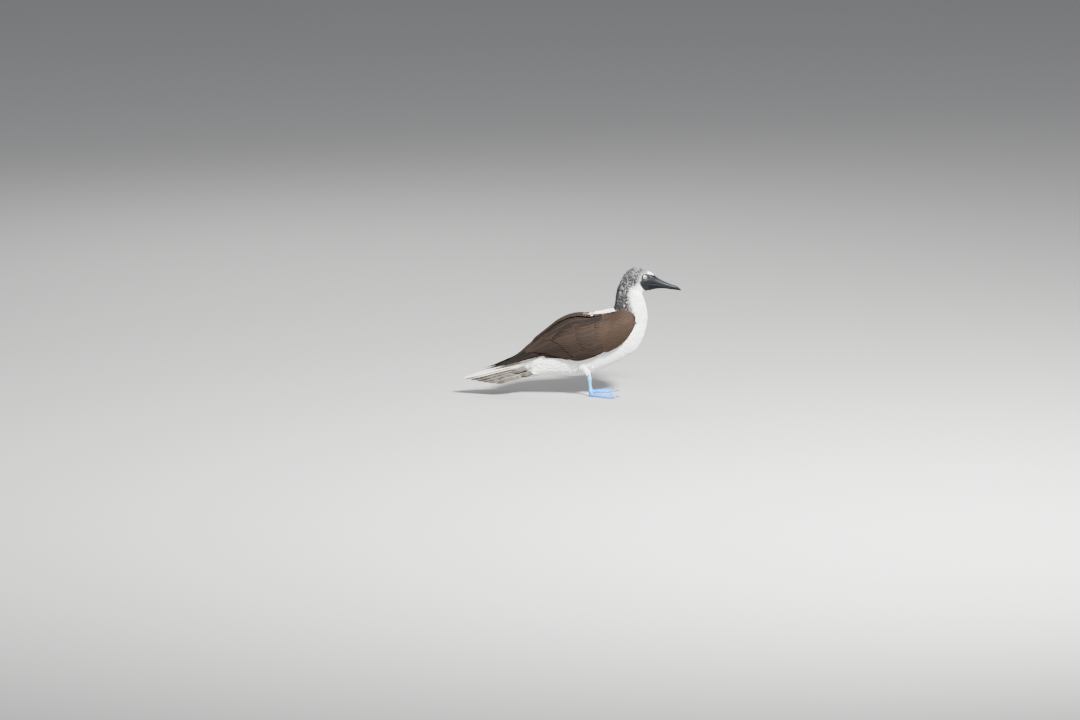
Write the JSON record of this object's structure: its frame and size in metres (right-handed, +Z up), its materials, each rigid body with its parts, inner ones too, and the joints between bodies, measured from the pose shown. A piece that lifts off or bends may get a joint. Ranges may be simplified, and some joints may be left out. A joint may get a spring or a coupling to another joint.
{
  "type": "blue-footed booby, standing",
  "caption": "Life-size still model of a standing blue-footed booby, with folded wings, streaked head and neck, long bill, wedge tail and webbed blue feet.",
  "frame": {"origin": "centre of the bounding box's floor, between the two feet and the tail's tip", "axes": "+X towards the bill, +Y to the bird's left, +Z up"},
  "size_m": [0.5912, 0.1543, 0.3494],
  "materials": {
    "white_plumage": "soft matt white feathers",
    "streaked_plumage": "matt white feathers streaked with dark brown",
    "brown_plumage": "matt brown feathers with paler edges",
    "tail_plumage": "matt brown tail feathers, whitish in the middle",
    "bill_horn": "satin slate-grey horn",
    "eye_gloss": "glossy pale yellow iris with a black pupil",
    "blue_skin": "scaly bright blue skin"
  },
  "bodies": {
    "root": {"torso": "white_plumage", "neck": "streaked_plumage", "head": "streaked_plumage", "bill_upper": "bill_horn", "bill_lower": "bill_horn", "eye_left": "eye_gloss", "eye_right": "eye_gloss", "wing_left": "brown_plumage", "wing_right": "brown_plumage", "tail": "tail_plumage", "thigh_left": "white_plumage", "thigh_right": "white_plumage", "tarsus_left": "blue_skin", "tarsus_right": "blue_skin", "foot_left": "blue_skin", "foot_right": "blue_skin"}
  },
  "joints": []
}
